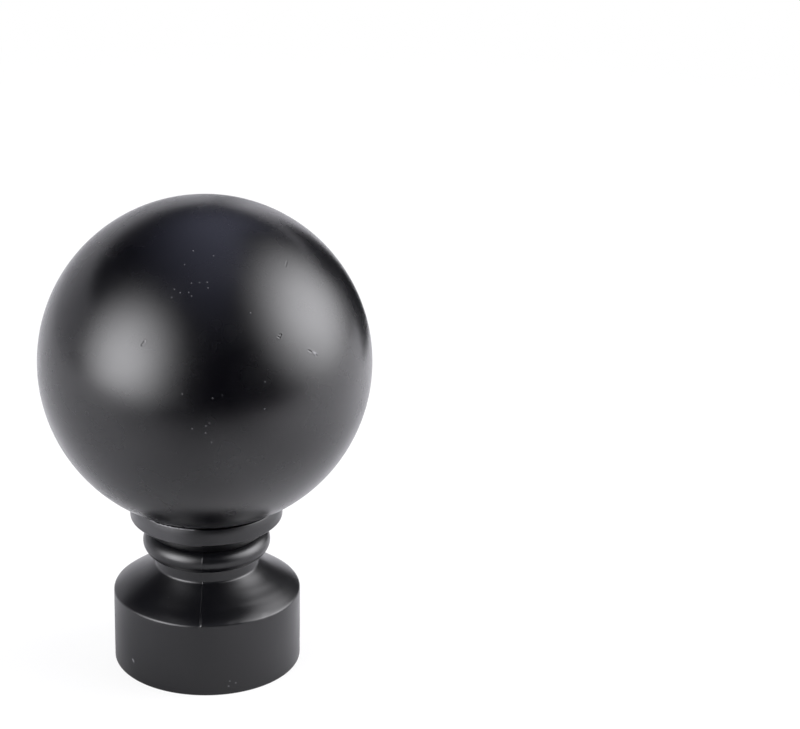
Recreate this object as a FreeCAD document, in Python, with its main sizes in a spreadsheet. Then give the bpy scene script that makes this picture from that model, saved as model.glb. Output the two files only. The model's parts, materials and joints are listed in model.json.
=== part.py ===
import FreeCAD, Part
import os
import Sketcher

# A ball finial for the end of a curtain pole: a hollow ball glued on a moulded socket that pushes over the pole.
# The socket stands on its mouth, with the origin at the mouth's centre and +Z along the axis, towards the ball.

# Driving sizes in millimetres: alias, value and meaning
SIZES = (
    ("pole_diameter", 28.0, "outside of the pole that the socket takes"),
    ("pole_clearance", 0.2, "room between the pole and the bore, all round"),
    ("socket_wall", 2.05, "wall of the cylinder around the pole"),
    ("bore_depth", 12.0, "straight length of the bore, from the mouth to the pole's stop"),
    ("lead_in", 0.4, "chamfer that guides the pole into the mouth"),
    ("mouth_rounding", 0.3, "outer edge of the mouth"),
    ("shoulder_rise", 4.95, "height of the cone between the cylinder and the neck"),
    ("shoulder_wall", 2.05, "thickness of that cone, square to its face"),
    ("rim_rounding", 0.5, "edge between the cylinder and the cone"),
    ("neck_diameter", 17.8, "band of the neck between the cone and the bead"),
    ("neck_wall", 2.2, "wall of the neck around its moulded core"),
    ("foot_fillet", 0.5, "inner corner between the cone and the neck"),
    ("band_height", 2.28, "height of that band"),
    ("throat_diameter", 18.6, "bottom of the groove between the bead and the collar"),
    ("bead_diameter", 22.1, "outside of the bead"),
    ("bead_height", 4.0, "thickness of the bead's round section"),
    ("throat_height", 2.95, "opening of that groove"),
    ("collar_diameter", 26.4, "outside of the collar that holds the ball"),
    ("collar_height", 2.85, "height of the collar's face"),
    ("collar_land", 0.55, "width of the collar's rim beside the ball"),
    ("collar_face_height", 2.05, "straight lower part of the collar's face"),
    ("collar_taper", 0.2, "how far the face draws in above that, up to the ball"),
    ("collar_face_rounding", 5.0, "bend between the two parts of the face"),
    ("collar_rim_rounding", 0.2, "upper outer edge of the collar"),
    ("collar_edge_rounding", 0.4, "lower outer edge of the collar"),
    ("collar_flare", 3.25, "height of the cone under the collar, out of the groove"),
    ("ball_diameter", 57.0, "outside of the ball"),
    ("ball_wall", 2.0, "wall of the hollow ball"),
    ("seat_gap", 0.08, "glue line between the ball and its seat"),
    ("web_thickness", 2.2, "floor between the seat and the neck's core"),
    ("spigot_diameter", 13.0, "ring that stands up into the ball's hole"),
    ("spigot_wall", 1.8, "wall of that ring"),
    ("spigot_reach", 1.5, "how far the ring stands past the inside of the ball's wall"),
    ("spigot_chamfer", 0.5, "outer top edge of the ring"),
    ("spigot_clearance", 0.1, "room between the ring and the ball's hole, all round"),
)

# Sizes worked out from the sheet: radii, then heights from the mouth up
bore_radius = "(sizes.pole_diameter / 2 + sizes.pole_clearance)"
outer_radius = f"({bore_radius} + sizes.socket_wall)"
neck_radius = "(sizes.neck_diameter / 2)"
core_radius = f"({neck_radius} - sizes.neck_wall)"
throat_radius = "(sizes.throat_diameter / 2)"
bead_section_radius = "(sizes.bead_height / 2)"
bead_ring_radius = f"(sizes.bead_diameter / 2 - {bead_section_radius})"
collar_radius = "(sizes.collar_diameter / 2)"
collar_top_radius = f"({collar_radius} - sizes.collar_taper)"
seat_rim_radius = f"({collar_radius} - sizes.collar_land)"
ball_radius = "(sizes.ball_diameter / 2)"
seat_radius = f"({ball_radius} + sizes.seat_gap)"
hollow_radius = f"({ball_radius} - sizes.ball_wall)"
spigot_radius = "(sizes.spigot_diameter / 2)"
spigot_inner_radius = f"({spigot_radius} - sizes.spigot_wall)"
ball_hole_radius = f"({spigot_radius} + sizes.spigot_clearance)"

# The cone's inside runs parallel to its outside, so the rim's height follows from the bore and the cone's wall
shoulder_slope = f"(sizes.shoulder_rise / ({outer_radius} - {neck_radius}))"
shoulder_wall_height = f"(sizes.shoulder_wall * sqrt(1 + {shoulder_slope} ^ 2))"
rim_height = f"(sizes.bore_depth + {shoulder_wall_height} - sizes.socket_wall * {shoulder_slope})"
foot_height = f"({rim_height} + sizes.shoulder_rise)"
bead_base = f"({foot_height} + sizes.band_height)"
bead_centre = f"({bead_base} + {bead_section_radius})"
collar_base = f"({bead_base} + sizes.bead_height + sizes.throat_height)"
flare_base = f"({collar_base} - sizes.collar_flare)"
collar_bend = f"({collar_base} + sizes.collar_face_height)"
collar_top = f"({collar_base} + sizes.collar_height)"
ball_centre = f"({collar_top} + sqrt({seat_radius} ^ 2 - {seat_rim_radius} ^ 2))"
core_base = f"(sizes.bore_depth + ({bore_radius} - {core_radius}) * {shoulder_slope})"
core_top = f"({ball_centre} - {seat_radius} - sizes.web_thickness)"
hole_inner_drop = f"sqrt({hollow_radius} ^ 2 - {ball_hole_radius} ^ 2)"
spigot_top = f"({ball_centre} - {hole_inner_drop} + sizes.spigot_reach)"

# Places where a radius or a height is nothing
AXIS = "0"
MOUTH = "0"
BALL_MIDDLE = "0"

FULL_TURN = 360.0
EDGE_TOLERANCE = 0.001


def make_sheet(doc):
    """Put the driving sizes in a spreadsheet, one row each, with the value's cell named by its alias."""
    sheet = doc.addObject("Spreadsheet::Sheet", "sizes")
    for row, (alias, value, meaning) in enumerate(SIZES, start=1):
        sheet.set(f"A{row}", alias)
        sheet.set(f"B{row}", str(value))
        sheet.set(f"C{row}", meaning)
        sheet.setAlias(f"B{row}", alias)
    doc.recompute()
    return sheet


def number(expression):
    """Value of an expression at the sheet's present sizes."""
    return float(sheet.evalExpression(expression))


def bind_corner(sketch, side, radius, height):
    """Hold the first point of one side of a sketch at a radius from the axis and a height."""
    for kind, expression, axis_line in (("DistanceX", radius, -2), ("DistanceY", height, -1)):
        if expression == "0":
            sketch.addConstraint(Sketcher.Constraint("PointOnObject", side, 1, axis_line))
        else:
            distance = Sketcher.Constraint(kind, -1, 1, side, 1, number(expression))
            index = sketch.addConstraint(distance)
            sketch.setExpression(f"Constraints[{index}]", expression)


def half_section(body, name, corners):
    """Closed outline of straight sides beside the axis, through corners given as (radius, height)."""
    sketch = body.newObject("Sketcher::SketchObject", name)
    plane = next(item for item in body.Origin.OriginFeatures if item.Role == "XZ_Plane")
    sketch.AttachmentSupport = [(plane, "")]
    sketch.MapMode = "FlatFace"
    points = [FreeCAD.Vector(number(radius), number(height), 0) for radius, height in corners]
    count = len(points)
    for side in range(count):
        sketch.addGeometry(Part.LineSegment(points[side], points[(side + 1) % count]), False)
    for side in range(count):
        sketch.addConstraint(Sketcher.Constraint("Coincident", side, 2, (side + 1) % count, 1))
    for side, (radius, height) in enumerate(corners):
        bind_corner(sketch, side, radius, height)
    return sketch


def turn(body, kind, name, corners):
    """Add or cut a turned form: kind is Revolution or Groove."""
    sketch = half_section(body, f"{name}_section", corners)
    feature = body.newObject(f"PartDesign::{kind}", name)
    feature.Profile = sketch
    feature.ReferenceAxis = (sketch, ["V_Axis"])
    feature.Angle = FULL_TURN
    doc.recompute()
    return feature


def sphere(body, kind, name, radius, height):
    """Add or cut a sphere on the axis: kind is Additive or Subtractive."""
    feature = body.newObject(f"PartDesign::{kind}Sphere", name)
    feature.setExpression("Radius", radius)
    feature.setExpression("Placement.Base.z", height)
    doc.recompute()
    return feature


def round_edge(body, base, name, radius, height, rounding):
    """Round the circular edge of that radius and height."""
    edges = [
        f"Edge{index}"
        for index, edge in enumerate(base.Shape.Edges, start=1)
        if not edge.Degenerated
        and isinstance(edge.Curve, Part.Circle)
        and abs(edge.Curve.Radius - number(radius)) < EDGE_TOLERANCE
        and abs(edge.Curve.Center.z - number(height)) < EDGE_TOLERANCE
    ]
    feature = body.newObject("PartDesign::Fillet", name)
    feature.Base = (base, edges)
    feature.setExpression("Radius", rounding)
    doc.recompute()
    return feature


def make_socket():
    """Moulded socket: cylinder and cone over the pole, neck with a bead, and a collar hollowed for the ball."""
    body = doc.addObject("PartDesign::Body", "socket")
    turn(body, "Revolution", "outside", (
        (AXIS, MOUTH),
        (outer_radius, MOUTH),
        (outer_radius, rim_height),
        (neck_radius, foot_height),
        (neck_radius, bead_centre),
        (throat_radius, bead_centre),
        (throat_radius, flare_base),
        (collar_radius, collar_base),
        (collar_radius, collar_bend),
        (collar_top_radius, collar_top),
        (AXIS, collar_top),
    ))
    bead = body.newObject("PartDesign::AdditiveTorus", "bead")
    bead.setExpression("Radius1", bead_ring_radius)
    bead.setExpression("Radius2", bead_section_radius)
    bead.setExpression("Placement.Base.z", bead_centre)
    doc.recompute()
    sphere(body, "Subtractive", "ball_seat", seat_radius, ball_centre)
    turn(body, "Revolution", "spigot", (
        (spigot_inner_radius, core_top),
        (spigot_radius, core_top),
        (spigot_radius, f"({spigot_top} - sizes.spigot_chamfer)"),
        (f"({spigot_radius} - sizes.spigot_chamfer)", spigot_top),
        (spigot_inner_radius, spigot_top),
    ))
    feature = turn(body, "Groove", "pole_bore", (
        (AXIS, MOUTH),
        (f"({bore_radius} + sizes.lead_in)", MOUTH),
        (bore_radius, "sizes.lead_in"),
        (bore_radius, "sizes.bore_depth"),
        (core_radius, core_base),
        (core_radius, core_top),
        (AXIS, core_top),
    ))
    for name, radius, height, rounding in (
        ("mouth_edge", outer_radius, MOUTH, "sizes.mouth_rounding"),
        ("rim_edge", outer_radius, rim_height, "sizes.rim_rounding"),
        ("neck_foot", neck_radius, foot_height, "sizes.foot_fillet"),
        ("collar_edge", collar_radius, collar_base, "sizes.collar_edge_rounding"),
        ("collar_face", collar_radius, collar_bend, "sizes.collar_face_rounding"),
        ("collar_rim", collar_top_radius, collar_top, "sizes.collar_rim_rounding"),
    ):
        feature = round_edge(body, feature, name, radius, height, rounding)
    return body


def make_ball():
    """Hollow ball, modelled about its own centre and set in the seat, with a hole below for the spigot."""
    body = doc.addObject("PartDesign::Body", "ball")
    sphere(body, "Additive", "ball_outside", ball_radius, BALL_MIDDLE)
    sphere(body, "Subtractive", "ball_inside", hollow_radius, BALL_MIDDLE)
    turn(body, "Groove", "spigot_hole", (
        (AXIS, f"(-{ball_radius})"),
        (ball_hole_radius, f"(-{ball_radius})"),
        (ball_hole_radius, BALL_MIDDLE),
        (AXIS, BALL_MIDDLE),
    ))
    body.setExpression("Placement.Base.z", ball_centre)
    doc.recompute()
    return body


def check_and_write(bodies):
    """Stop if anything failed, and otherwise write each sub-part to its own file."""
    for item in doc.Objects:
        if "Invalid" in item.State or "Error" in item.State:
            raise RuntimeError(f"{item.Name} failed: {item.State}")
    for body in bodies:
        if body.Shape.isNull() or not body.Shape.isValid() or len(body.Shape.Solids) != 1:
            raise RuntimeError(f"{body.Label} is not one valid solid")
    os.makedirs("parts", exist_ok=True)
    for body in bodies:
        body.Shape.exportStep(f"parts/{body.Label}.step")
        box = body.Shape.BoundBox
        print(f"{body.Label}: {body.Shape.Volume:.1f} mm3, z {box.ZMin:.3f} to {box.ZMax:.3f}")


doc = FreeCAD.newDocument("ball_finial")
sheet = make_sheet(doc)
check_and_write([make_socket(), make_ball()])
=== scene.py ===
import json
import math

import bmesh
import bpy
from mathutils import Matrix, Vector, noise
from mathutils.bvhtree import BVHTree
from mathutils.geometry import intersect_line_sphere_2d
from mathutils.kdtree import KDTree


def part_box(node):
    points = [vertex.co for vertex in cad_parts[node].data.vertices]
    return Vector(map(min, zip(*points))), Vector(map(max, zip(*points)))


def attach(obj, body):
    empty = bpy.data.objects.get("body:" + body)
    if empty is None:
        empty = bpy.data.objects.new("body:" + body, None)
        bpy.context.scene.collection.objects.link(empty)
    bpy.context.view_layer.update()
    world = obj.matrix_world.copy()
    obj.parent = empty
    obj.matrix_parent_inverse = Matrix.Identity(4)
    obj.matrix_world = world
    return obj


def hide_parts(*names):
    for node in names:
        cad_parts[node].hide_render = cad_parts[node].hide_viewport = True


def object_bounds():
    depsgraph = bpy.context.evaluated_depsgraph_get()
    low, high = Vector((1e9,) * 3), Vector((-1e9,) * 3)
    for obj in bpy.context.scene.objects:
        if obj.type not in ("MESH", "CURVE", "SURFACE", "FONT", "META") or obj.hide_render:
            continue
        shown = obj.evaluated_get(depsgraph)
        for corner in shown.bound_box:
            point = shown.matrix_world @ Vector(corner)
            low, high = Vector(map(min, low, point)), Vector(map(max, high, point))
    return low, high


# A satin black ball finial: a ball glued in the collar of a moulded socket
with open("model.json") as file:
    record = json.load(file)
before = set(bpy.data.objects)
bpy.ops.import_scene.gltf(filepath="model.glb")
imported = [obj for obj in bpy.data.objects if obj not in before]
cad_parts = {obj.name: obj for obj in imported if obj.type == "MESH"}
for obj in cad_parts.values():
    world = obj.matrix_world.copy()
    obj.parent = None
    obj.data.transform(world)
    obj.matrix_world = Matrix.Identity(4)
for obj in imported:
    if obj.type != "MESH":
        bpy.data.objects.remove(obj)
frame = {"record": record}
cad_low, cad_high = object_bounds()

# Lengths are in millimetres unless a line says otherwise, and MM turns them into metres
MM = 0.001

# Camera, in the photograph's frame of 800 by 729 pixels
IMAGE_WIDTH = 800
IMAGE_HEIGHT = 729
SENSOR_WIDTH = 36.0
FOCAL_LENGTH_PIXELS = 3327.5
CAMERA_PITCH = math.radians(23.157)
CAMERA_ROLL = math.radians(0.911)
MOUTH_PIXEL = (207.77, 651.40)
MOUTH_DEPTH = 588.28
NEAREST = 10.0

# Sizes of the socket's half section, the same as the solid's
BORE_RADIUS = frame["record"]["mounts"][0]["dims"]["r_mm"]
BORE_DEPTH = 12.0
LEAD_IN = 0.4
MOUTH_ROUNDING = 0.3
OUTER_RADIUS = BORE_RADIUS + 2.05
SHOULDER_RISE = 4.95
SHOULDER_WALL = 2.05
RIM_ROUNDING = 0.5
NECK_RADIUS = 8.9
CORE_RADIUS = NECK_RADIUS - 2.2
FOOT_FILLET = 0.5
BAND_HEIGHT = 2.28
THROAT_RADIUS = 9.3
BEAD_OUTSIDE = 11.05
BEAD_SECTION = 2.0
THROAT_HEIGHT = 2.95
COLLAR_RADIUS = 13.2
COLLAR_HEIGHT = 2.85
COLLAR_LAND = 0.55
COLLAR_FACE_HEIGHT = 2.05
COLLAR_TAPER = 0.2
COLLAR_FACE_ROUNDING = 5.0
COLLAR_RIM_ROUNDING = 0.2
COLLAR_EDGE_ROUNDING = 0.4
COLLAR_FLARE = 3.25
WEB_THICKNESS = 2.2
SPIGOT_RADIUS = 6.5
SPIGOT_WALL = 1.8
SPIGOT_CHAMFER = 0.5
SEAT_GAP = 0.08

# Sizes of the ball, from its node's box
ball_low, ball_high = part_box("ball")
BALL_RADIUS = min(ball_high.x, ball_high.y, -ball_low.x, -ball_low.y) / MM
BALL_CENTRE = ball_high.z / MM - BALL_RADIUS
BALL_WALL = 2.0
BALL_HOLE = SPIGOT_RADIUS + 0.1

# Heights on the socket, from the mouth up
SHOULDER_SLOPE = SHOULDER_RISE / (OUTER_RADIUS - NECK_RADIUS)
SHOULDER_WALL_HEIGHT = SHOULDER_WALL * math.hypot(1, SHOULDER_SLOPE)
RIM_HEIGHT = BORE_DEPTH + SHOULDER_WALL_HEIGHT - (OUTER_RADIUS - BORE_RADIUS) * SHOULDER_SLOPE
FOOT_HEIGHT = RIM_HEIGHT + SHOULDER_RISE
BEAD_BASE = FOOT_HEIGHT + BAND_HEIGHT
BEAD_CENTRE = BEAD_BASE + BEAD_SECTION
COLLAR_BASE = BEAD_BASE + 2 * BEAD_SECTION + THROAT_HEIGHT
COLLAR_TOP = COLLAR_BASE + COLLAR_HEIGHT
COLLAR_BEND = COLLAR_BASE + COLLAR_FACE_HEIGHT
FLARE_BASE = COLLAR_BASE - COLLAR_FLARE
SEAT_RADIUS = BALL_RADIUS + SEAT_GAP
CORE_BASE = BORE_DEPTH + (BORE_RADIUS - CORE_RADIUS) * SHOULDER_SLOPE
CORE_TOP = BALL_CENTRE - SEAT_RADIUS - WEB_THICKNESS
SPIGOT_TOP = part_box("socket")[1].z / MM

# Fineness of the meshes
ROUNDING_STEPS = 5
SOCKET_STEP = 0.3
INSIDE_STEP = 1.5
BALL_STEP = 0.5
SOCKET_SIDES = 288
BALL_SIDES = 300
MARK_CUTS = 5
EDGE_TOLERANCE = 0.01

# Mould line of the socket: a thin ridge in front and behind, with a wider swelling beside it on the bead
MOULD_LINE = math.radians(-91.2)
MOULD_LINES = (MOULD_LINE, MOULD_LINE + math.pi)
RIDGE_HEIGHT = 0.04
RIDGE_HALF_WIDTH = 0.07
RIDGE_FADE = 2.0
RIDGE_LEAN = 0.14
RIDGE_END = 0.5
RIDGE_RAGGEDNESS = 0.6
RIDGE_WAVES = (1.7, 3.1)
RIDGE_ANGLE_STEP = math.radians(0.15)
RIDGE_FINE_SIDES = 8
SWELL_HEIGHT = 0.05
SWELL_TOP = 1.0
SWELL_WIDTH_LEFT = 1.1
SWELL_WIDTH_RIGHT = 0.3 * SWELL_WIDTH_LEFT

# Flash that hangs from the collar's lower edge; sectors are in degrees, with about -86 towards the camera
LIP_DROP = 0.2
LIP_START = 0.1
LIP_REACH_UP = 0.6
LIP_REACH_UNDER = 0.3
LIP_GROWTH = 0.8
LIP_SECTOR = (-122, -90.0)

# Ragged flash at the collar's upper edge
FLASH_HEIGHT = 0.16
FLASH_RADIUS = COLLAR_RADIUS - COLLAR_TAPER - 0.06
FLASH_WIDTH = 0.12
FLASH_SHARE = 0.6
FLASH_RAGGEDNESS = 0.8
FLASH_WAVES = ((9, 0.3), (27, 4.1))
FLASH_SECTOR = (-143, -90)
SEAM_REACH = 0.5
SEAM_STEP = 0.05

# Painted sheen on the collar's face: lighter grey painted on its left side in place of a brighter
# reflection
COLLAR_PAINTED_SHEEN = 0.18
PAINTED_SHEEN_SECTOR = (-165, -105)
PAINTED_SHEEN_FADE = 12
PAINTED_SHEEN_DEPTH = 0.1

# Flow marks on the cone
FLOW_HEIGHT = 0.022
FLOW_LENGTH = 1.0
FLOW_SLANT = 1.5
FLOW_WAVES = (1.2, 7.3)
FLOW_SECTOR = (-70, 14)
FLOW_FADE = 14
FLOW_ENDS = (0.5, 0.8)

# Rise of the rim in front, and its step at the mould line
RIM_LIFT = 0.23
RIM_LIFT_SECTOR = (-150, -55)
RIM_LIFT_FADE = 20
STEP_RISE = 0.2
STEP_REACH = (0.4, 3.5)
STEP_WIDTH = 1.2
STEP_FADE = (15, 75)

# Flats in the rim
RIM_DENTS = (-70, -47)
RIM_DENT_DEPTH = 0.06
RIM_DENT_REACH = (0.2, 0.8)
RIM_DENT_HALF_WIDTH = 2
RIM_DENT_FADE = 3

# Bend of the cone's section, and unevenness of the whole outside above the mouth's edge
CONE_SWAY = 0.08
UNEVENNESS = 0.015
UNEVENNESS_LENGTH = 4.0
EVEN_HEIGHT = 1.0

# Nicks and specks at their pixels in the photograph: both ends, half width, and height above the surface
BALL_NICKS = (
    ((142.0, 345.2), (144.6, 341.6), 0.17, -0.035),
    ((277.6, 336.6), (279.6, 337.8), 0.12, -0.03),
    ((278.6, 334.8), (281.2, 334.4), 0.11, -0.03),
    ((281.2, 334.4), (279.6, 337.8), 0.11, -0.03),
    ((308.6, 350.4), (311.2, 352.0), 0.14, -0.035),
    ((313.6, 352.6), (315.4, 354.2), 0.20, 0.03),
    ((315.6, 354.6), (317.2, 356.2), 0.12, -0.035),
    ((285.6, 266.4), (286.8, 261.6), 0.13, -0.02),
)
BALL_SPECKS = (
    (199.5, 282.5), (207.3, 282.3), (208.0, 288.0), (188.8, 292.5), (191.5, 296.0), (191.5, 283.2),
    (193.3, 250.8), (213.7, 255.8), (184.6, 264.6), (250.3, 312.8), (265.0, 381.8), (264.5, 408.8),
    (206.0, 425.8), (205.5, 432.8), (192.0, 428.7), (211.5, 442.2), (209.5, 423.0), (174.4, 289.2),
    (171.9, 297.2), (180.3, 292.7), (182.4, 394.0), (212.6, 398.2),
)
SPECK_HALF_WIDTH = 0.09
SPECK_HEIGHT = 0.03
WALL_NICKS = (
    ((132.9, 659.6), (133.8, 661.4), 0.17, 0.04),
    ((229.8, 681.1), (229.8, 681.1), 0.11, 0.008),
    ((228.6, 686.1), (228.6, 686.1), 0.12, 0.01),
    ((235.8, 682.8), (235.8, 682.8), 0.12, 0.01),
)
SEAM_FLASH = (
    ((150.1, 520.6), (154.0, 521.8), 0.09, 0.03),
    ((157.3, 524.2), (166.4, 526.6), 0.08, 0.03),
    ((169.0, 527.4), (178.0, 528.8), 0.09, 0.03),
    ((180.0, 529.0), (193.9, 530.2), 0.11, 0.03),
)

# Reach of a mark and the raised edge of a nick, in half widths of the mark
MARK_REACH = 3.5
NICK_EDGE_HEIGHT = 0.35
NICK_EDGE_PLACE = 1.7
NICK_EDGE_WIDTH = 0.6

# Satin black: sizes of its grain, waves and clouds, and its dust
GRAIN_LENGTH = 0.3
GRAIN_SHARE = 0.5
PEEL_LENGTH = 2.5
CLOUD_LENGTH = 7
RELIEF = 0.005
CLOUD_RANGE = (0.3, 0.7)
DARKEST_BLACK = (0.0002, 0.0002, 0.0008, 1)
LIGHTEST_BLACK = (0.0008, 0.0008, 0.0017, 1)
REFRACTION = 1.5
BALL_ROUGHNESS = (0.24, 0.29)
SOCKET_ROUGHNESS = (0.275, 0.345)
# Grey of the dust; the same grey is painted on the collar's face as a painted sheen
DUST_AND_PAINTED_SHEEN_COLOUR = (0.10, 0.10, 0.105, 1)
DUST_SPACING = 1.5
DUST_GAPS = 0.85
DUST_SIZE = 0.45
DUST_FAINTNESS = 0.25

# White floor of the studio, in metres and shares of white. Its glow in reflections is painted light and
# shade that goes by the place across: a painted shadow near the object and a painted pool of light on the
# right
WHITE_SHARE = 0.85
WHITE_REACH = (0.1, 0.35)
# Share of the painted glow in reflections
PAINTED_GLOW_SHARE = 0.4
PAPER_COLOUR = (0.8, 0.8, 0.8, 1)
PAPER_HALF_WIDTH = 0.5
# Tint and strength of the painted glow: painted shadow near the object, painted pool of light on the right
PAINTED_GLOW_TINT = (0.985, 0.965, 1.025)
PAINTED_FLOOR_GLOW = (
    (-0.5, 1.2), (-0.15, 1.0), (-0.06, 1.0), (-0.025, 0.25), (0.0, 0.2),
    (0.025, 0.9), (0.065, 0.8), (0.13, 2.1), (0.4, 1.6),
)
FLOOR_RADIUS = 1.2
FLOOR_SIDES = 90
FLOOR_MIDDLE = 0.001
SWEEP = 0.3
WALL_TOP = 0.7

# Dark cloth and cards that only reflections show
CARD_COLOUR = (0.01, 0.01, 0.01, 1)
CARD_RADIUS = FLOOR_RADIUS - 0.05
CARD_SECTOR = (-168, -12)
CARD_STEP = 6
CLOTH_LIFT = 0.0005
CLOTH_EDGE = (-0.07, -0.27)
CLOTH_LEFT = (-0.27, -0.12)
CORNER_SECTOR = (42, 72)
CORNER_STEP = 5
CORNER_RADIUS = 0.2
CORNER_HEIGHTS = (0.0, 0.14)

# Soft boxes beside the ball: directions in degrees, and spreads as shares of the distance
SOFTBOX_DISTANCE = 0.55
SOFTBOX_REACH = 2.1
SOFTBOX_COLOUR = (0.975, 0.97, 1.0)
LEFT_DIRECTION = (-144.2, 16.0)
LEFT_SPREAD = (0.41, 0.445)
LEFT_RADIANCE = 10.5
RIGHT_DIRECTION = (4.2, 25.2)
RIGHT_SPREAD = (0.465, 0.465)
RIGHT_RADIANCE = 9.65

# Soft box overhead, in metres
CEILING_PLACE = (0.13, 0.5, 1.1)
CEILING_SPREAD = (0.45, 0.9)
CEILING_RADIANCE = 1.0
CEILING_COLOUR = (0.71, 0.73, 1.0)

# Lamp over the floor behind, and the dim room
BACKGROUND_WIDTH = (-0.5, 0.7)
BACKGROUND_LENGTH = (0.15, 1.0)
BACKGROUND_HEIGHT = 0.8
BACKGROUND_RADIANCE = 2.0
ROOM_RADIANCE = 0.01


def arc(centre, radius, start, end, step):
    """Points of an arc in the half section, between two angles in degrees."""
    count = max(2, round(abs(math.radians(end - start)) * radius / step))
    turns = [math.radians(start + (end - start) * i / count) for i in range(count + 1)]
    return [
        Vector((centre[0] + radius * math.cos(turn), centre[1] + radius * math.sin(turn)))
        for turn in turns
    ]


def rounded(corners):
    """Outline of straight sides through corners given as (radius, height, rounding)."""
    points = []
    for index, (radius, height, rounding) in enumerate(corners):
        corner = Vector((radius, height))
        if rounding == 0:
            points.append(corner)
            continue
        before = (Vector(corners[index - 1][:2]) - corner).normalized()
        after = (Vector(corners[index + 1][:2]) - corner).normalized()
        half_angle = before.angle(after) / 2
        centre = corner + (before + after).normalized() * rounding / math.sin(half_angle)
        reach = rounding / math.tan(half_angle)
        first = corner + before * reach - centre
        last = corner + after * reach - centre
        shares = [i / ROUNDING_STEPS for i in range(ROUNDING_STEPS + 1)]
        points += [centre + rounding * first.slerp(last, share) for share in shares]
    return points


def divided(points, step):
    """The same outline with its long sides cut into short ones."""
    fine = [points[0]]
    for start, end in zip(points, points[1:]):
        count = max(1, math.ceil((end - start).length / step))
        fine += [start.lerp(end, i / count) for i in range(1, count + 1)]
    return fine


def section_normals(points):
    """Outward normals of a half section that runs down the outside, in (radius, height)."""
    normals = []
    last = len(points) - 1
    for index in range(len(points)):
        along = points[min(index + 1, last)] - points[max(index - 1, 0)]
        normals.append(Vector((-along.y, along.x)).normalized())
    return normals


def make_camera():
    """Camera at the photograph's viewing angle, placed by the pixel and the depth of the mouth's centre."""
    data = bpy.data.cameras.new("camera")
    data.sensor_width = SENSOR_WIDTH
    data.lens = SENSOR_WIDTH * FOCAL_LENGTH_PIXELS / IMAGE_WIDTH
    data.clip_start = NEAREST * MM
    camera = bpy.data.objects.new("camera", data)
    bpy.context.scene.collection.objects.link(camera)
    tilt = Matrix.Rotation(math.pi / 2 - CAMERA_PITCH, 4, "X")
    turn = tilt @ Matrix.Rotation(CAMERA_ROLL, 4, "Z")
    across = (MOUTH_PIXEL[0] - IMAGE_WIDTH / 2) / FOCAL_LENGTH_PIXELS
    upward = (IMAGE_HEIGHT / 2 - MOUTH_PIXEL[1]) / FOCAL_LENGTH_PIXELS
    mouth = Vector((across, upward, -1)) * MOUTH_DEPTH * MM
    camera.matrix_world = Matrix.Translation(turn @ -mouth) @ turn
    bpy.context.scene.camera = camera
    return camera


def ease(value, start, end):
    """Smooth step from 0 at start to 1 at end."""
    share = min(1.0, max(0.0, (value - start) / (end - start)))
    return share * share * (3 - 2 * share)


def turn_between(angle, line):
    """Signed turn from a line to an angle, within half a turn."""
    return (angle - line + math.pi) % math.tau - math.pi


def sector(angle, limits, fade=6.0):
    """1 inside a sector given in degrees, 0 outside, with soft ends."""
    middle = math.radians(sum(limits) / 2)
    half = abs(limits[1] - limits[0]) / 2
    away = abs(math.degrees(turn_between(angle, middle)))
    return 1 - ease(away, half - fade, half + fade)


def wave(*place):
    """Smooth noise between about -1 and 1."""
    return noise.noise(Vector(place))


def mould_ridge(point, angle):
    """Height of the mould line over the outside below the collar."""
    strength = ease(point.y, RIM_HEIGHT - RIDGE_FADE, RIM_HEIGHT)
    strength *= 1 - ease(point.y, COLLAR_BASE - RIDGE_END, COLLAR_BASE)
    if strength == 0:
        return 0
    on_bead = ease(point.y, BEAD_BASE, BEAD_CENTRE)
    on_bead *= 1 - ease(point.y, BEAD_CENTRE + SWELL_TOP, BEAD_CENTRE + BEAD_SECTION)
    height = 0
    for line in MOULD_LINES:
        across = point.x * turn_between(angle, line) - RIDGE_LEAN * ease(point.y, BEAD_BASE, BEAD_CENTRE)
        ragged = RIDGE_RAGGEDNESS * (1 + wave(RIDGE_WAVES[0] * point.y, RIDGE_WAVES[1] * line, 0))
        swell_width = SWELL_WIDTH_LEFT if across < 0 else SWELL_WIDTH_RIGHT
        height += RIDGE_HEIGHT * ragged * math.exp(-(across / RIDGE_HALF_WIDTH) ** 2)
        height += SWELL_HEIGHT * on_bead * math.exp(-abs(across) / swell_width)
    return strength * height


def rim_step(point, angle):
    """Rise of the rim in front, with a step where the mould's halves did not meet exactly."""
    near = 1 - ease((point - Vector((OUTER_RADIUS, RIM_HEIGHT))).length, *STEP_REACH)
    if near == 0:
        return 0
    past = math.degrees(turn_between(angle, MOULD_LINE))
    step = ease(past, 0, STEP_WIDTH) * (1 - ease(past, *STEP_FADE))
    return near * (RIM_LIFT * sector(angle, RIM_LIFT_SECTOR, RIM_LIFT_FADE) + STEP_RISE * step)


def flow_marks(point, angle):
    """Ripples that run round the cone on its right side."""
    on_cone = ease(point.y, RIM_HEIGHT, RIM_HEIGHT + FLOW_ENDS[0])
    on_cone *= 1 - ease(point.y, FOOT_HEIGHT - FLOW_ENDS[1], FOOT_HEIGHT)
    if on_cone == 0:
        return 0
    along = (OUTER_RADIUS - point.x) / FLOW_LENGTH + FLOW_SLANT * angle
    ripple = wave(along, FLOW_WAVES[0] * angle, FLOW_WAVES[1])
    return on_cone * sector(angle, FLOW_SECTOR, FLOW_FADE) * FLOW_HEIGHT * ripple


def cone_sway(point):
    """Slight double bend of the cone's section: full near the rim, hollow near the band."""
    share = (OUTER_RADIUS - point.x) / (OUTER_RADIUS - NECK_RADIUS)
    if not RIM_HEIGHT - RIM_ROUNDING < point.y < FOOT_HEIGHT + FOOT_FILLET:
        return 0
    return CONE_SWAY * math.sin(math.tau * share)


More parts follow.
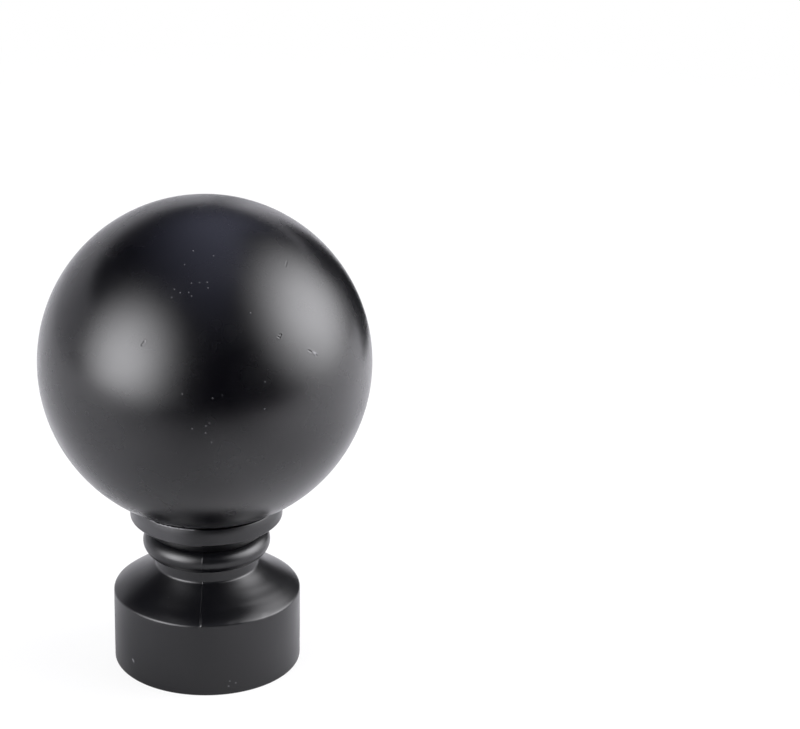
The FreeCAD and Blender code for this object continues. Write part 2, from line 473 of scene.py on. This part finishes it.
def seam_shift(point, angle):
    """Lift of the collar's upper edge: ragged flash against the ball on the left."""
    near = ease(point.y, COLLAR_TOP - SEAM_REACH, COLLAR_TOP - COLLAR_RIM_ROUNDING)
    if near == 0 or point.x < COLLAR_RADIUS - COLLAR_LAND - EDGE_TOLERANCE:
        return 0
    coarse, fine = (wave(count * angle, offset, 0) for count, offset in FLASH_WAVES)
    ragged = FLASH_SHARE + FLASH_RAGGEDNESS * coarse + FLASH_RAGGEDNESS * fine
    flash = FLASH_HEIGHT * min(1, max(0, ragged)) * math.exp(-((point.x - FLASH_RADIUS) / FLASH_WIDTH) ** 2)
    return near * flash * sector(angle, FLASH_SECTOR)


def lip_drop(point, angle):
    """Flash that hangs from the collar's lower edge beside the mould line."""
    reach = LIP_REACH_UP if point.x > COLLAR_RADIUS - EDGE_TOLERANCE else LIP_REACH_UNDER
    near = 1 - ease((point - Vector((COLLAR_RADIUS, COLLAR_BASE))).length, LIP_START, reach)
    start, end = (math.radians(limit) for limit in LIP_SECTOR)
    share = turn_between(angle, start) / (end - start)
    if near == 0 or not 0 <= share <= 1:
        return 0
    return LIP_DROP * near * ease(share, 0, LIP_GROWTH)


def rim_dents(point, angle):
    """Shallow flats in the edge between the cylinder and the cone."""
    near = 1 - ease((point - Vector((OUTER_RADIUS, RIM_HEIGHT))).length, *RIM_DENT_REACH)
    if near == 0:
        return 0
    sides = [(dent - RIM_DENT_HALF_WIDTH, dent + RIM_DENT_HALF_WIDTH) for dent in RIM_DENTS]
    return RIM_DENT_DEPTH * near * sum(sector(angle, limits, RIM_DENT_FADE) for limits in sides)


def socket_skin(point, normal, angle):
    """Point of the socket's outside with the mould's faults added."""
    height = mould_ridge(point, angle) + flow_marks(point, angle)
    height += cone_sway(point)
    height -= rim_dents(point, angle)
    if point.y > EVEN_HEIGHT:
        spread = point.x / UNEVENNESS_LENGTH
        upward = point.y / UNEVENNESS_LENGTH
        height += UNEVENNESS * wave(spread * math.cos(angle), spread * math.sin(angle), upward)
    rise = rim_step(point, angle) + seam_shift(point, angle) - lip_drop(point, angle)
    return point + normal * height + Vector((0, rise))


def lathe(outline, angles, place):
    """Mesh turned from a half section that starts and ends on the axis; place gives a point at an angle."""
    mesh = bmesh.new()
    rings = []
    last = len(outline) - 1
    for index, point in enumerate(outline):
        if index in (0, last):
            rings.append([mesh.verts.new((0, 0, point.y * MM))])
            continue
        ring = []
        for angle in angles:
            spot = place(index, angle)
            turned = Vector((spot.x * math.cos(angle), spot.x * math.sin(angle), spot.y))
            ring.append(mesh.verts.new(turned * MM))
        rings.append(ring)
    count = len(angles)
    for upper, lower in zip(rings, rings[1:]):
        for side in range(count):
            following = (side + 1) % count
            corners = [upper[side % len(upper)], lower[side % len(lower)]]
            corners += [lower[following % len(lower)], upper[following % len(upper)]]
            mesh.faces.new(dict.fromkeys(corners))
    bmesh.ops.recalc_face_normals(mesh, faces=mesh.faces)
    return mesh


def finished(mesh, name, sharp_angle=40.0):
    """Object from a mesh, smooth apart from its sharp edges."""
    data = bpy.data.meshes.new(name)
    mesh.to_mesh(data)
    mesh.free()
    data.shade_smooth()
    data.set_sharp_from_angle(angle=math.radians(sharp_angle))
    piece = bpy.data.objects.new(name, data)
    bpy.context.scene.collection.objects.link(piece)
    return piece


def seen_point(camera, tree, pixel):
    """Point of a mesh that shows at a pixel of the photograph."""
    across = (pixel[0] - IMAGE_WIDTH / 2) / FOCAL_LENGTH_PIXELS
    upward = (IMAGE_HEIGHT / 2 - pixel[1]) / FOCAL_LENGTH_PIXELS
    ray = camera.matrix_world.to_3x3() @ Vector((across, upward, -1))
    return tree.ray_cast(camera.matrix_world.translation, ray.normalized())[0]


def inside_box(place):
    """The place, moved into the solid's outer box where it stands proud of it."""
    return Vector(min(max(value, low), high) for value, low, high in zip(place, cad_low, cad_high))


def add_marks(mesh, camera, marks, settle):
    """Refine a mesh at its marks and shape them; settle gives a point's true place and normal."""
    layers = mesh.verts.layers.float
    dust_and_painted_sheen = layers.get("dust_and_painted_sheen") or layers.new("dust_and_painted_sheen")
    tree = BVHTree.FromBMesh(mesh)
    mesh.faces.ensure_lookup_table()
    placed = []
    chosen = set()
    for start_pixel, end_pixel, half_width, height in marks:
        start = seen_point(camera, tree, start_pixel)
        end = seen_point(camera, tree, end_pixel)
        reach = (end - start).length / 2 + MARK_REACH * half_width * MM
        placed.append((start, end, half_width * MM, height * MM, reach))
        chosen.update(found[2] for found in tree.find_nearest_range((start + end) / 2, reach))
    edges = {edge for index in chosen for edge in mesh.faces[index].edges}
    made = bmesh.ops.subdivide_edges(mesh, edges=list(edges), cuts=MARK_CUTS, use_grid_fill=True)
    for item in made["geom_inner"]:
        if isinstance(item, bmesh.types.BMVert):
            item.co = settle(item.co)[0]
    mesh.verts.ensure_lookup_table()
    near = KDTree(len(mesh.verts))
    for index, vertex in enumerate(mesh.verts):
        near.insert(vertex.co, index)
    near.balance()
    for start, end, half_width, height, reach in placed:
        along = end - start
        for place, index, _ in near.find_range((start + end) / 2, reach):
            vertex = mesh.verts[index]
            share = (place - start).dot(along) / along.length_squared if along.length else 0
            away = (place - start - along * min(1, max(0, share))).length / half_width
            shape = math.exp(-away ** 2)
            if height < 0:
                shape -= NICK_EDGE_HEIGHT * math.exp(-((away - NICK_EDGE_PLACE) / NICK_EDGE_WIDTH) ** 2)
            else:
                # Raised marks are greyed through this attribute: the specks, and the seam's flash too
                vertex[dust_and_painted_sheen] = max(vertex[dust_and_painted_sheen], shape)
            vertex.co = inside_box(vertex.co + settle(place)[1] * height * shape)


def even_angles(count):
    """Angles of a full turn, half a step off the axes."""
    return [math.tau * (i + 0.5) / count for i in range(count)]


def socket_angles():
    """Angles of the socket's sides, close together at the mould lines."""
    fine_half = RIDGE_FINE_SIDES * RIDGE_ANGLE_STEP
    fine = [
        line + RIDGE_ANGLE_STEP * side
        for line in MOULD_LINES
        for side in range(-RIDGE_FINE_SIDES, RIDGE_FINE_SIDES + 1)
    ]
    coarse = [
        angle
        for angle in even_angles(SOCKET_SIDES)
        if all(abs(turn_between(angle, line)) > fine_half + RIDGE_ANGLE_STEP for line in MOULD_LINES)
    ]
    return sorted(angle % math.tau for angle in fine + coarse)


def settle_on_ball(place):
    """Nearest point of the ball's outside and the normal there."""
    centre = Vector((0, 0, BALL_CENTRE * MM))
    normal = (place - centre).normalized()
    return centre + normal * BALL_RADIUS * MM, normal


def settle_on_wall(place):
    """Nearest point of the socket's cylinder and the normal there."""
    normal = Vector((place.x, place.y, 0)).normalized()
    return normal * OUTER_RADIUS * MM + Vector((0, 0, place.z)), normal


def settle_on_collar(place):
    """The same point of the collar's edge, and the direction in which flash stands up."""
    return place, Vector((0, 0, 1))


def make_ball(camera):
    """Hollow ball with the hole that the spigot stands in, and its nicks and specks."""
    hollow = BALL_RADIUS - BALL_WALL
    outer_start = math.degrees(math.asin(BALL_HOLE / BALL_RADIUS)) - 90
    inner_start = math.degrees(math.asin(BALL_HOLE / hollow)) - 90
    outline = arc((0, BALL_CENTRE), BALL_RADIUS, 90, outer_start, BALL_STEP)
    outline += arc((0, BALL_CENTRE), hollow, inner_start, 90, 3 * BALL_STEP)
    mesh = lathe(outline, even_angles(BALL_SIDES), lambda index, angle: outline[index])
    attribute_marks = [(pixel, pixel, SPECK_HALF_WIDTH, SPECK_HEIGHT) for pixel in BALL_SPECKS]
    add_marks(mesh, camera, list(BALL_NICKS) + attribute_marks, settle_on_ball)
    return finished(mesh, "ball_body")


def seat_arc(start_radius, end_radius):
    """Stretch of the ball's seat between two radii."""
    start = math.degrees(math.asin(start_radius / SEAT_RADIUS)) - 90
    end = math.degrees(math.asin(end_radius / SEAT_RADIUS)) - 90
    return arc((0, BALL_CENTRE), SEAT_RADIUS, start, end, INSIDE_STEP)


def socket_outline():
    """Half section of the socket: its hidden top, its outside down to the mouth, and its inside."""
    spigot_inside = SPIGOT_RADIUS - SPIGOT_WALL
    seat_rim = COLLAR_RADIUS - COLLAR_LAND
    spigot = rounded((
        (spigot_inside, SPIGOT_TOP, 0),
        (SPIGOT_RADIUS - SPIGOT_CHAMFER, SPIGOT_TOP, 0),
        (SPIGOT_RADIUS, SPIGOT_TOP - SPIGOT_CHAMFER, 0),
    ))
    hidden = seat_arc(0, spigot_inside) + divided(spigot, INSIDE_STEP) + seat_arc(SPIGOT_RADIUS, seat_rim)
    collar = rounded((
        (seat_rim, COLLAR_TOP, 0),
        (COLLAR_RADIUS - COLLAR_TAPER, COLLAR_TOP, COLLAR_RIM_ROUNDING),
        (COLLAR_RADIUS, COLLAR_BEND, COLLAR_FACE_ROUNDING),
        (COLLAR_RADIUS, COLLAR_BASE, COLLAR_EDGE_ROUNDING),
        (THROAT_RADIUS, FLARE_BASE, 0),
    ))
    bead_middle = Vector((BEAD_OUTSIDE - BEAD_SECTION, BEAD_CENTRE))
    crossings = intersect_line_sphere_2d(collar[-2], collar[-1], bead_middle, BEAD_SECTION)
    groove = next(crossing for crossing in crossings if crossing) - bead_middle
    bead_start = math.degrees(math.atan2(groove.y, groove.x))
    bead_end = -math.degrees(math.acos((NECK_RADIUS - bead_middle.x) / BEAD_SECTION))
    bead = arc(bead_middle, BEAD_SECTION, bead_start, bead_end, SOCKET_STEP / 2)
    base = rounded((
        (NECK_RADIUS, BEAD_BASE, 0),
        (NECK_RADIUS, FOOT_HEIGHT, FOOT_FILLET),
        (OUTER_RADIUS, RIM_HEIGHT, RIM_ROUNDING),
        (OUTER_RADIUS, 0, MOUTH_ROUNDING),
        (BORE_RADIUS + LEAD_IN, 0, 0),
    ))
    inside = rounded((
        (BORE_RADIUS + LEAD_IN, 0, 0),
        (BORE_RADIUS, LEAD_IN, 0),
        (BORE_RADIUS, BORE_DEPTH, 0),
        (CORE_RADIUS, CORE_BASE, 0),
        (CORE_RADIUS, CORE_TOP, 0),
        (0, CORE_TOP, 0),
    ))
    seam = divided(collar[:ROUNDING_STEPS + 3], SEAM_STEP)
    shown = seam[:-1] + divided(collar[ROUNDING_STEPS + 2:-1] + bead + base[1:], SOCKET_STEP)
    return hidden[:-1], shown, divided(inside, INSIDE_STEP)[1:]


def paint_collar_sheen(mesh):
    """Painted sheen: lighter grey painted on the left of the collar's face in place of a brighter
    reflection.
    """
    dust_and_painted_sheen = mesh.verts.layers.float["dust_and_painted_sheen"]
    for vertex in mesh.verts:
        outside = vertex.co.xy.length > (COLLAR_RADIUS - COLLAR_TAPER - PAINTED_SHEEN_DEPTH) * MM
        if outside and COLLAR_BASE * MM < vertex.co.z < COLLAR_TOP * MM:
            angle = math.atan2(vertex.co.y, vertex.co.x)
            share = COLLAR_PAINTED_SHEEN * sector(angle, PAINTED_SHEEN_SECTOR, PAINTED_SHEEN_FADE)
            vertex[dust_and_painted_sheen] = max(vertex[dust_and_painted_sheen], share)


def make_socket(camera):
    """Moulded socket with its collar, bead, band, cone and bore."""
    hidden, shown, inside = socket_outline()
    outline = hidden + shown + inside
    normals = section_normals(outline)
    skin = range(len(hidden), len(hidden) + len(shown))

    def place(index, angle):
        point = outline[index]
        return socket_skin(point, normals[index], angle) if index in skin else point

    mesh = lathe(outline, socket_angles(), place)
    add_marks(mesh, camera, WALL_NICKS, settle_on_wall)
    add_marks(mesh, camera, SEAM_FLASH, settle_on_collar)
    # Painted sheen: lighter grey on the left of the collar's face
    paint_collar_sheen(mesh)
    return finished(mesh, "socket_body")


class Nodes:
    """Short forms for making a material's nodes."""

    def __init__(self, name):
        self.material = bpy.data.materials.new(name)
        self.material.use_nodes = True
        self.tree = self.material.node_tree
        self.tree.nodes.clear()

    def add(self, kind, settings=None, **inputs):
        """Node of a kind, with its settings and its inputs, which are values or other nodes' outputs."""
        node = self.tree.nodes.new("ShaderNode" + kind)
        for setting, value in (settings or {}).items():
            setattr(node, setting, value)
        for socket, value in inputs.items():
            numbered = socket[0] == "i" and socket[1:].isdigit()
            target = node.inputs[int(socket[1:])] if numbered else node.inputs[socket]
            if isinstance(value, bpy.types.NodeSocket):
                self.tree.links.new(value, target)
            else:
                target.default_value = value
        return node

    def math(self, operation, first, second):
        """Output of a sum or other operation on two values."""
        return self.add("Math", {"operation": operation}, i0=first, i1=second).outputs[0]

    def mapped(self, value, start, end, low=0.0, high=1.0):
        """Output of a value moved from one range to another and held at its ends."""
        return self.add("MapRange", Value=value, i1=start, i2=end, i3=low, i4=high).outputs["Result"]

    def blended(self, share, first, second):
        """Shader that goes from the first to the second by a share."""
        return self.add("MixShader", i0=share, i1=first, i2=second).outputs[0]

    def noise(self, place, length, detail):
        """Output of a noise with waves of a length."""
        return self.add("TexNoise", Vector=place, Scale=1 / (length * MM), Detail=detail).outputs["Fac"]

    def finish(self, shader):
        """The material, with this shader on its surface."""
        self.add("OutputMaterial", Surface=shader)
        return self.material


def satin_black(name, smoothest, roughest):
    """Satin black plastic: fine grain, slight waviness, uneven sheen, and dust; the mesh's attribute also
    brings the painted sheen on the collar's face.
    """
    nodes = Nodes(name)
    place = nodes.add("TexCoord").outputs["Object"]
    grain = nodes.noise(place, GRAIN_LENGTH, 2.0)
    peel = nodes.noise(place, PEEL_LENGTH, 1.0)
    cloud = nodes.noise(place, CLOUD_LENGTH, 3.0)
    relief = nodes.math("ADD", nodes.math("MULTIPLY", grain, GRAIN_SHARE), peel)
    bump = nodes.add("Bump", Strength=1.0, Distance=RELIEF * MM, Height=relief).outputs["Normal"]
    gloss = nodes.mapped(cloud, *CLOUD_RANGE, smoothest, roughest)
    black = nodes.add("ValToRGB", Fac=cloud)
    black.color_ramp.elements[0].color = DARKEST_BLACK
    black.color_ramp.elements[1].color = LIGHTEST_BLACK
    cells = nodes.add("TexVoronoi", Vector=place, Scale=1 / (DUST_SPACING * MM))
    chance = nodes.add("SeparateColor", Color=cells.outputs["Color"]).outputs["Red"]
    size = nodes.math("MULTIPLY", nodes.math("SUBTRACT", chance, DUST_GAPS), DUST_SIZE)
    fine_dust = nodes.math("LESS_THAN", cells.outputs["Distance"], size)
    faint = nodes.math("MULTIPLY", fine_dust, DUST_FAINTNESS)
    # The mesh's attribute: dust on the specks, and the painted sheen on the collar's face
    attribute_marks = nodes.add("Attribute", {"attribute_name": "dust_and_painted_sheen"}).outputs["Fac"]
    dust_and_painted_sheen = nodes.math("MAXIMUM", faint, attribute_marks)
    black_dust_and_painted_sheen = nodes.add("Mix", {"data_type": "RGBA"}, i0=dust_and_painted_sheen, i6=black.outputs["Color"], i7=DUST_AND_PAINTED_SHEEN_COLOUR)
    colour = {"Base Color": black_dust_and_painted_sheen.outputs[2]}
    shader = nodes.add("BsdfPrincipled", Normal=bump, Roughness=gloss, IOR=REFRACTION, **colour)
    return nodes.finish(shader.outputs["BSDF"])


def white_paper_with_painted_glow():
    """White to the eye, with a share of its real shading near the object; in reflections a painted glow,
    with painted shade near the object and painted light on the right.
    """
    nodes = Nodes("white_paper_with_painted_glow")
    path = nodes.add("LightPath").outputs
    seen = nodes.math("ADD", path["Is Camera Ray"], path["Is Transmission Ray"])
    place = nodes.add("TexCoord").outputs["Object"]
    away = nodes.add("VectorMath", {"operation": "LENGTH"}, i0=place).outputs["Value"]
    white_share = nodes.mapped(away, *WHITE_REACH, WHITE_SHARE, 1.0)
    x = nodes.add("SeparateXYZ", Vector=place).outputs["X"]
    across = nodes.mapped(x, -PAPER_HALF_WIDTH, PAPER_HALF_WIDTH)
    ramp = nodes.add("ValToRGB", Fac=across)
    stops = ramp.color_ramp.elements
    while len(stops) < len(PAINTED_FLOOR_GLOW):
        stops.new(0.5)
    for stop, (side, glow) in zip(stops, PAINTED_FLOOR_GLOW):
        stop.position = (side / PAPER_HALF_WIDTH + 1) / 2
        stop.color = (*[glow * tint for tint in PAINTED_GLOW_TINT], 1)
    # Painted glow seen only in reflections: painted shade near the object, painted light on the right
    painted_glow = nodes.add("Emission", Color=ramp.outputs["Color"], Strength=1.0).outputs[0]
    white = nodes.add("Emission", Strength=1.0).outputs[0]
    paper = nodes.add("BsdfDiffuse", Color=PAPER_COLOUR).outputs[0]
    shown = nodes.blended(nodes.math("MULTIPLY", seen, white_share), paper, white)
    painted_glow_share = nodes.math("MULTIPLY", path["Is Glossy Ray"], PAINTED_GLOW_SHARE)
    return nodes.finish(nodes.blended(painted_glow_share, shown, painted_glow))


def softbox_cloth(name, half_width, half_height, radiance, colour):
    """Lit cloth, brightest in the middle and half as bright at the half width, on its front side only."""
    nodes = Nodes(name)
    place = nodes.add("TexCoord").outputs["Object"]
    halves = (half_width, half_height, 1)
    scaled = nodes.add("VectorMath", {"operation": "DIVIDE"}, i0=place, i1=halves).outputs[0]
    away = nodes.add("VectorMath", {"operation": "DOT_PRODUCT"}, i0=scaled, i1=scaled).outputs["Value"]
    falloff = nodes.math("POWER", 0.5, away)
    front = nodes.math("SUBTRACT", 1.0, nodes.add("NewGeometry").outputs["Backfacing"])
    strength = nodes.math("MULTIPLY", nodes.math("MULTIPLY", falloff, radiance), front)
    return nodes.finish(nodes.add("Emission", Color=(*colour, 1), Strength=strength).outputs[0])


def dark_cloth():
    """Black cloth, thin at its edge near the object and at its left edge."""
    nodes = Nodes("dark_cloth")
    place = nodes.add("SeparateXYZ", Vector=nodes.add("TexCoord").outputs["Object"]).outputs
    near = nodes.mapped(place["Y"], *CLOTH_EDGE)
    left = nodes.mapped(place["X"], *CLOTH_LEFT)
    clear = nodes.add("BsdfTransparent").outputs[0]
    black = nodes.add("BsdfDiffuse", Color=CARD_COLOUR).outputs[0]
    return nodes.finish(nodes.blended(nodes.math("MULTIPLY", near, left), clear, black))


def black_card():
    """Black card."""
    nodes = Nodes("black_card")
    return nodes.finish(nodes.add("BsdfDiffuse", Color=CARD_COLOUR).outputs[0])


def stage_piece(name, rows, material):
    """Part of the studio: a sheet through rows of points."""
    mesh = bmesh.new()
    rings = [[mesh.verts.new(point) for point in row] for row in rows]
    for first, second in zip(rings, rings[1:]):
        for index in range(len(first) - 1):
            mesh.faces.new((first[index], first[index + 1], second[index + 1], second[index]))
    piece = finished(mesh, name)
    piece.data.materials.append(material)
    return piece


def polar(radius, degrees, height):
    """Point at a radius, an angle about the axis and a height, in metres."""
    turn = math.radians(degrees)
    return Vector((radius * math.cos(turn), radius * math.sin(turn), height))


def make_floor():
    """Round white floor whose edge sweeps up into a low wall."""
    profile = [(FLOOR_MIDDLE, 0), (FLOOR_RADIUS, 0)]
    profile += [
        (FLOOR_RADIUS + SWEEP * math.sin(turn), SWEEP * (1 - math.cos(turn)))
        for turn in (math.radians(degrees) for degrees in range(10, 100, 10))
    ]
    profile.append((FLOOR_RADIUS + SWEEP, WALL_TOP))
    turns = [360 * side / FLOOR_SIDES for side in range(FLOOR_SIDES + 1)]
    rows = [[polar(radius, degrees, height) for degrees in turns] for radius, height in profile]
    stage_piece("floor", rows, white_paper_with_painted_glow())


def make_flag(name, rows, material):
    """Dark cloth that only reflections show: it keeps stray white off the object."""
    flag = stage_piece(name, rows, material)
    flag.visible_camera = False
    flag.visible_diffuse = False
    flag.visible_transmission = False
    flag.visible_shadow = False


def make_flags():
    """Dark side of the room behind the camera, and a dark corner behind on the right."""
    cloth_ends = (-CARD_RADIUS, CLOTH_EDGE[0])
    cloth = [[Vector((x, y, CLOTH_LIFT)) for x in (-CARD_RADIUS, CARD_RADIUS)] for y in cloth_ends]
    make_flag("front_cloth", cloth, dark_cloth())
    card = black_card()
    front_turns = range(CARD_SECTOR[0], CARD_SECTOR[1] + 1, CARD_STEP)
    front = [[polar(CARD_RADIUS, degrees, height) for degrees in front_turns] for height in (0, WALL_TOP)]
    make_flag("front_card", front, card)
    corner_turns = range(CORNER_SECTOR[0], CORNER_SECTOR[1] + 1, CORNER_STEP)
    corner = [
        [polar(CORNER_RADIUS, degrees, height) for degrees in corner_turns]
        for height in CORNER_HEIGHTS
    ]
    make_flag("corner_card", corner, card)


def make_softbox(name, place, target, half_width, half_height, radiance, colour):
    """Soft box at a place, facing a target."""
    corners = [
        [
            Vector((across * half_width * SOFTBOX_REACH, upward * half_height * SOFTBOX_REACH, 0))
            for across in (-1, 0, 1)
        ]
        for upward in (-1, 0, 1)
    ]
    box = stage_piece(name, corners, softbox_cloth(name, half_width, half_height, radiance, colour))
    box.location = place
    box.rotation_euler = (target - place).to_track_quat("Z", "Y").to_euler()
    box.visible_camera = False


def make_side_light(name, direction, spread, radiance):
    """Soft box beside the ball: turn and rise in degrees, and half widths as shares of the distance."""
    middle = Vector((0, 0, BALL_CENTRE * MM))
    rise = math.radians(direction[1])
    place = middle + SOFTBOX_DISTANCE * polar(math.cos(rise), direction[0], math.sin(rise))
    half_width = SOFTBOX_DISTANCE * spread[0]
    half_height = SOFTBOX_DISTANCE * spread[1]
    make_softbox(name, place, middle, half_width, half_height, radiance, SOFTBOX_COLOUR)


def make_ceiling():
    """Soft box overhead that faces straight down."""
    place = Vector(CEILING_PLACE)
    below = place * Vector((1, 1, 0))
    make_softbox("ceiling", place, below, *CEILING_SPREAD, CEILING_RADIANCE, CEILING_COLOUR)


def make_background_lamp():
    """Flat lamp over the floor behind the object, which reflections do not show."""
    data = bpy.data.lights.new("background_lamp", "AREA")
    data.shape = "RECTANGLE"
    data.size = BACKGROUND_WIDTH[1] - BACKGROUND_WIDTH[0]
    data.size_y = BACKGROUND_LENGTH[1] - BACKGROUND_LENGTH[0]
    data.energy = BACKGROUND_RADIANCE * math.pi * data.size * data.size_y
    lamp = bpy.data.objects.new("background_lamp", data)
    bpy.context.scene.collection.objects.link(lamp)
    lamp.location = (sum(BACKGROUND_WIDTH) / 2, sum(BACKGROUND_LENGTH) / 2, BACKGROUND_HEIGHT)
    lamp.visible_camera = False
    lamp.visible_glossy = False


def make_world():
    """Dim room."""
    world = bpy.data.worlds.new("room")
    world.use_nodes = True
    world.node_tree.nodes["Background"].inputs["Color"].default_value = (*[ROOM_RADIANCE] * 3, 1)
    bpy.context.scene.world = world


bpy.context.scene.view_settings.view_transform = "Standard"
camera = make_camera()

ball = make_ball(camera)
ball.data.materials.append(satin_black("satin_black_ball", *BALL_ROUGHNESS))
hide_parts("ball")
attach(ball, "root")

socket = make_socket(camera)
socket.data.materials.append(satin_black("satin_black_socket", *SOCKET_ROUGHNESS))
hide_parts("socket")
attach(socket, "root")

make_floor()
make_flags()
make_side_light("left_softbox", LEFT_DIRECTION, LEFT_SPREAD, LEFT_RADIANCE)
make_side_light("right_softbox", RIGHT_DIRECTION, RIGHT_SPREAD, RIGHT_RADIANCE)
make_ceiling()
make_background_lamp()
make_world()
